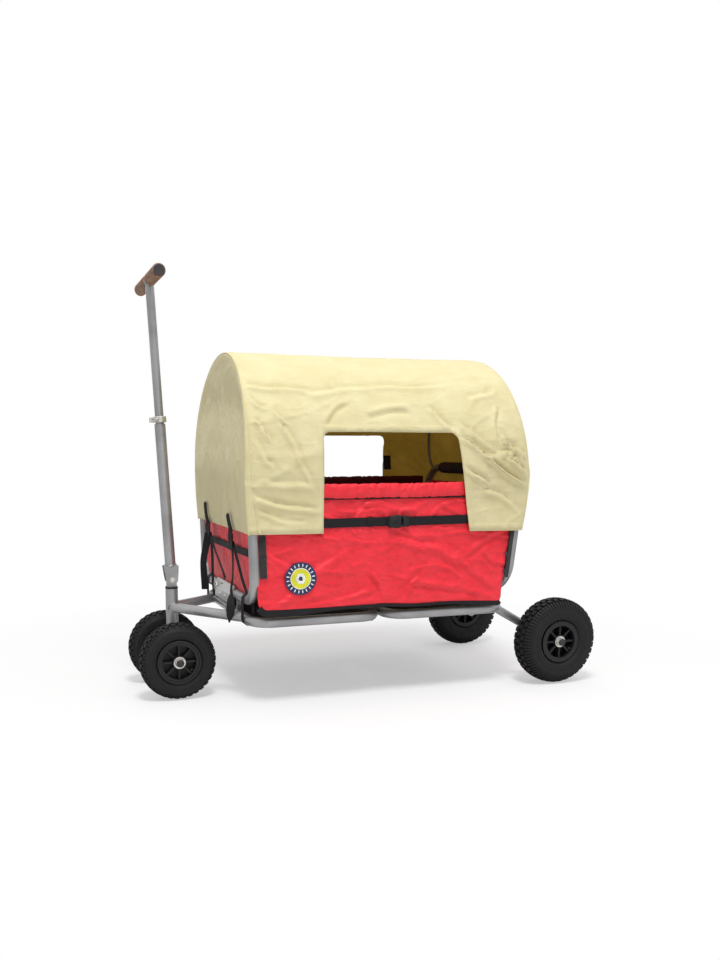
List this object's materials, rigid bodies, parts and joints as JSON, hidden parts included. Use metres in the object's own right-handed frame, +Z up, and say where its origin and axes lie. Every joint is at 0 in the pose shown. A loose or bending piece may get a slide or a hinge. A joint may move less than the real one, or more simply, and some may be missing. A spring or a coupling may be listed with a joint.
{
  "type": "folding wagon",
  "caption": "Folding hand-pulled wagon: tubular frame, fabric basket, arched canopy, steered front wheel pair, telescopic T-handle.",
  "frame": {"origin": "on the ground, midway along the wheels and midway across", "axes": "+X forward towards the pull handle, +Y left, +Z up"},
  "size_m": [1.37, 0.6366, 1.1817],
  "materials": {
    "satin_grey_tube": "satin grey paint",
    "zinc_steel": "zinc plated",
    "black_plastic": "matt black",
    "tyre_rubber": "matt",
    "red_fabric": "woven polyester, slight sheen",
    "cream_canvas": "woven canvas",
    "black_webbing": "woven webbing",
    "black_foam": "closed-cell foam",
    "brown_grip": "matt, cork-like",
    "floor_cloth": "red lining over a stiff board"
  },
  "bodies": {
    "front_hoop": {"hoop_front": "satin_grey_tube", "hoop_ears_front": "satin_grey_tube", "hoop_hinge_pins_front": "zinc_steel", "latch_plate": "zinc_steel", "bow_front": "satin_grey_tube", "canopy": "cream_canvas", "side_panel_left": "red_fabric", "side_panel_right": "red_fabric", "side_strap_left": "black_webbing", "side_strap_right": "black_webbing", "strap_buckle_left": "black_plastic", "strap_buckle_right": "black_plastic", "end_panel_front": "red_fabric"},
    "base_front": {"base_loop_front": "satin_grey_tube", "floor_panel_front": "floor_cloth", "hoop_lugs_front": "satin_grey_tube", "drawbar_legs": "satin_grey_tube", "head_tube": "satin_grey_tube", "middle_hinge_lugs": "satin_grey_tube", "middle_hinge_pins": "zinc_steel"},
    "base_rear": {"base_loop_rear": "satin_grey_tube", "floor_panel_rear": "floor_cloth", "hoop_lugs_rear": "satin_grey_tube", "middle_hinge_ears": "satin_grey_tube", "rear_wheel_arms": "satin_grey_tube", "rear_stub_axles": "zinc_steel", "rear_axle_nuts": "zinc_steel"},
    "rear_hoop": {"hoop_rear": "satin_grey_tube", "hoop_ears_rear": "satin_grey_tube", "hoop_hinge_pins_rear": "zinc_steel", "push_bar_foam": "black_foam", "bow_rear": "satin_grey_tube", "end_panel_rear": "red_fabric"},
    "steering": {"steering_column": "satin_grey_tube", "thrust_ring": "black_plastic", "axle_beam": "satin_grey_tube", "front_axle": "zinc_steel", "front_axle_nuts": "zinc_steel"},
    "handle_lower": {"handle_clevis": "satin_grey_tube", "tilt_bolt": "zinc_steel", "pull_tube_lower": "satin_grey_tube", "telescope_clamp": "zinc_steel", "clamp_lever": "zinc_steel"},
    "handle_upper": {"pull_tube_upper": "satin_grey_tube", "grip_crossbar": "satin_grey_tube", "grip_sleeves": "brown_grip", "grip_caps": "black_plastic"},
    "wheel_front_left": {"tyre_front_left": "tyre_rubber", "rim_front_left": "black_plastic"},
    "wheel_front_right": {"tyre_front_right": "tyre_rubber", "rim_front_right": "black_plastic"},
    "wheel_rear_left": {"tyre_rear_left": "tyre_rubber", "rim_rear_left": "black_plastic"},
    "wheel_rear_right": {"tyre_rear_right": "tyre_rubber", "rim_rear_right": "black_plastic"}
  },
  "joints": [
    {"name": "fold", "type": "hinge", "parent": "front_hoop", "child": "base_front", "pos_m": [0.396, 0, 0.272], "axis": [0, 1, 0], "range_deg": [0, 90], "deforming": ["canopy", "side_panel_left", "side_panel_right", "side_strap_left", "side_strap_right", "strap_buckle_left", "strap_buckle_right"]},
    {"name": "middle_fold", "type": "hinge", "parent": "base_front", "child": "base_rear", "pos_m": [0.01, 0, 0.214], "axis": [0, 1, 0], "range_deg": [-180, 0]},
    {"name": "rear_hoop_fold", "type": "hinge", "parent": "base_rear", "child": "rear_hoop", "pos_m": [-0.376, 0, 0.272], "axis": [0, 1, 0], "range_deg": [0, 90]},
    {"name": "steering_turn", "type": "hinge", "parent": "base_front", "child": "steering", "pos_m": [0.569, 0, 0.2], "axis": [0, 0, 1], "range_deg": [-45, 45]},
    {"name": "handle_tilt", "type": "hinge", "parent": "steering", "child": "handle_lower", "pos_m": [0.569, 0, 0.33], "axis": [0, 1, 0], "range_deg": [-8, 85]},
    {"name": "handle_telescope", "type": "slide", "parent": "handle_lower", "child": "handle_upper", "axis": [0.0541, 0, 0.9985], "range_m": [-0.33, 0.03]},
    {"name": "wheel_front_left_turn", "type": "hinge", "parent": "steering", "child": "wheel_front_left", "pos_m": [0.575, 0.1, 0.11], "axis": [0, 1, 0], "continuous": true},
    {"name": "wheel_front_right_turn", "type": "hinge", "parent": "steering", "child": "wheel_front_right", "pos_m": [0.575, -0.1, 0.11], "axis": [0, 1, 0], "continuous": true},
    {"name": "wheel_rear_left_turn", "type": "hinge", "parent": "base_rear", "child": "wheel_rear_left", "pos_m": [-0.555, 0.278, 0.13], "axis": [0, 1, 0], "continuous": true},
    {"name": "wheel_rear_right_turn", "type": "hinge", "parent": "base_rear", "child": "wheel_rear_right", "pos_m": [-0.555, -0.278, 0.13], "axis": [0, 1, 0], "continuous": true}
  ],
  "couplings": [
    {"joint": "middle_fold", "follows": "fold", "ratio": -2},
    {"joint": "rear_hoop_fold", "follows": "fold", "ratio": 1}
  ]
}
